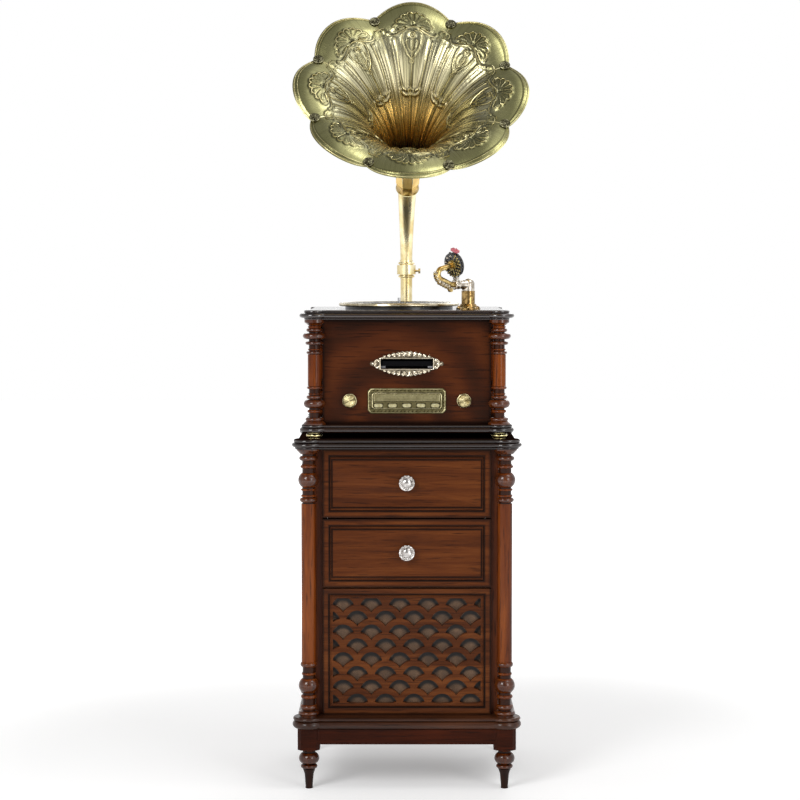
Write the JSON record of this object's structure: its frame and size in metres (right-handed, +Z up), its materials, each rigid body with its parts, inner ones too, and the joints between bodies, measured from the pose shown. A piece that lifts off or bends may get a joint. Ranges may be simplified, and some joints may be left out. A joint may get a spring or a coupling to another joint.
{
  "type": "record player",
  "caption": "Floor-standing record player with a petal horn, turntable, tonearm, radio and disc drawer in a box on a columned cabinet with drawers.",
  "frame": {"origin": "on the floor, in the middle between the axes of the four feet", "axes": "+Z up, -Y towards the front with the drawers and the radio, +X to the viewer's right"},
  "size_m": [0.5703, 0.6287, 1.9203],
  "materials": {
    "turned_wood": "glossy lacquer",
    "board_wood": "glossy dark lacquer",
    "panel_wood": "satin lacquer",
    "drawer_wood": "satin lacquer",
    "raw_wood": "planed",
    "antique_brass": "brushed",
    "horn_brass": "brushed",
    "aged_bronze": "satin",
    "old_silver": "polished",
    "steel": "bright",
    "black_plastic": "matt",
    "black_metal": "satin",
    "paper_cone": "matt",
    "wire_cloth": "woven",
    "mat_rubber": "matt",
    "dial_glass": "clear",
    "circuit_board": "satin",
    "stylus_red": "gloss"
  },
  "bodies": {
    "cabinet": {"turned_feet": "turned_wood", "base_frame": "board_wood", "plinth_board": "board_wood", "cabinet_columns": "turned_wood", "cabinet_sides": "panel_wood", "cabinet_back": "panel_wood", "inner_boards": "raw_wood", "drawer_runners": "raw_wood", "grille_panel": "panel_wood", "grille_mesh": "wire_cloth", "speaker_basket": "black_metal", "speaker_cone": "paper_cone", "cabinet_top": "board_wood", "brass_feet": "antique_brass", "box_bottom": "board_wood", "box_columns": "turned_wood", "box_front": "panel_wood", "box_sides": "panel_wood", "box_back": "panel_wood", "rear_plate": "black_plastic", "deck": "board_wood", "disc_bezel": "old_silver", "disc_drive": "steel", "radio_plate": "antique_brass", "dial_window": "dial_glass", "radio_chassis": "circuit_board", "power_transformer": "steel", "amplifier_board": "circuit_board", "platter_base": "black_plastic", "spindle_bearing": "antique_brass", "motor": "steel", "drive_belt": "mat_rubber", "tonearm_pillar": "antique_brass", "horn_tube": "antique_brass", "horn_collar": "antique_brass"},
    "platter": {"platter": "old_silver", "platter_mat": "mat_rubber", "spindle": "steel"},
    "motor_pulley": {"motor_pulley": "antique_brass"},
    "tonearm": {"tonearm": "antique_brass"},
    "soundbox": {"gooseneck": "antique_brass", "soundbox": "aged_bronze", "stylus": "stylus_red"},
    "volume_knob": {"volume_knob": "antique_brass"},
    "tuning_knob": {"tuning_knob": "antique_brass"},
    "upper_drawer": {"upper_drawer_front": "drawer_wood", "upper_drawer_box": "raw_wood", "upper_drawer_knob": "old_silver"},
    "lower_drawer": {"lower_drawer_front": "drawer_wood", "lower_drawer_box": "raw_wood", "lower_drawer_knob": "old_silver"},
    "disc_tray": {"disc_tray": "black_plastic"},
    "horn": {"horn_elbow": "antique_brass", "horn": "horn_brass", "horn_rosettes": "aged_bronze"},
    "button_1": {"button_1": "antique_brass"},
    "button_2": {"button_2": "antique_brass"},
    "button_3": {"button_3": "antique_brass"},
    "button_4": {"button_4": "antique_brass"},
    "button_5": {"button_5": "antique_brass"}
  },
  "joints": [
    {"name": "platter_spin", "type": "hinge", "parent": "cabinet", "child": "platter", "pos_m": [-0.019, -0.02, 1.175], "axis": [0, 0, 1], "continuous": true},
    {"name": "motor_spin", "type": "hinge", "parent": "cabinet", "child": "motor_pulley", "pos_m": [-0.10827, -0.05249, 1.102], "axis": [0, 0, 1], "continuous": true},
    {"name": "tonearm_swing", "type": "hinge", "parent": "cabinet", "child": "tonearm", "pos_m": [0.15, -0.132, 1.225], "axis": [0, 0, 1], "range_deg": [-75, 10]},
    {"name": "soundbox_turn", "type": "hinge", "parent": "tonearm", "child": "soundbox", "pos_m": [0.15, -0.132, 1.225], "axis": [-0.766, -0.6428, 0], "range_deg": [0, 100]},
    {"name": "volume_turn", "type": "hinge", "parent": "cabinet", "child": "volume_knob", "pos_m": [-0.139, -0.164, 0.943], "axis": [0, -1, 0], "range_deg": [-150, 150]},
    {"name": "tuning_turn", "type": "hinge", "parent": "cabinet", "child": "tuning_knob", "pos_m": [0.139, -0.164, 0.943], "axis": [0, -1, 0], "continuous": true},
    {"name": "upper_drawer_slide", "type": "slide", "parent": "cabinet", "child": "upper_drawer", "axis": [0, -1, 0], "range_m": [0, 0.26]},
    {"name": "lower_drawer_slide", "type": "slide", "parent": "cabinet", "child": "lower_drawer", "axis": [0, -1, 0], "range_m": [0, 0.26]},
    {"name": "disc_tray_slide", "type": "slide", "parent": "cabinet", "child": "disc_tray", "axis": [0, -1, 0], "range_m": [0, 0.125]},
    {"name": "horn_swivel", "type": "hinge", "parent": "cabinet", "child": "horn", "pos_m": [0, 0.172, 1.284], "axis": [0, 0, 1], "range_deg": [-60, 60]},
    {"name": "button_1_press", "type": "slide", "parent": "cabinet", "child": "button_1", "axis": [0, 1, 0], "range_m": [0, 0.002], "stiffness_N_per_m": 300, "springref_m": -0.002},
    {"name": "button_2_press", "type": "slide", "parent": "cabinet", "child": "button_2", "axis": [0, 1, 0], "range_m": [0, 0.002], "stiffness_N_per_m": 300, "springref_m": -0.002},
    {"name": "button_3_press", "type": "slide", "parent": "cabinet", "child": "button_3", "axis": [0, 1, 0], "range_m": [0, 0.002], "stiffness_N_per_m": 300, "springref_m": -0.002},
    {"name": "button_4_press", "type": "slide", "parent": "cabinet", "child": "button_4", "axis": [0, 1, 0], "range_m": [0, 0.002], "stiffness_N_per_m": 300, "springref_m": -0.002},
    {"name": "button_5_press", "type": "slide", "parent": "cabinet", "child": "button_5", "axis": [0, 1, 0], "range_m": [0, 0.002], "stiffness_N_per_m": 300, "springref_m": -0.002}
  ],
  "couplings": [
    {"joint": "motor_spin", "follows": "platter_spin", "ratio": 7.4286}
  ]
}
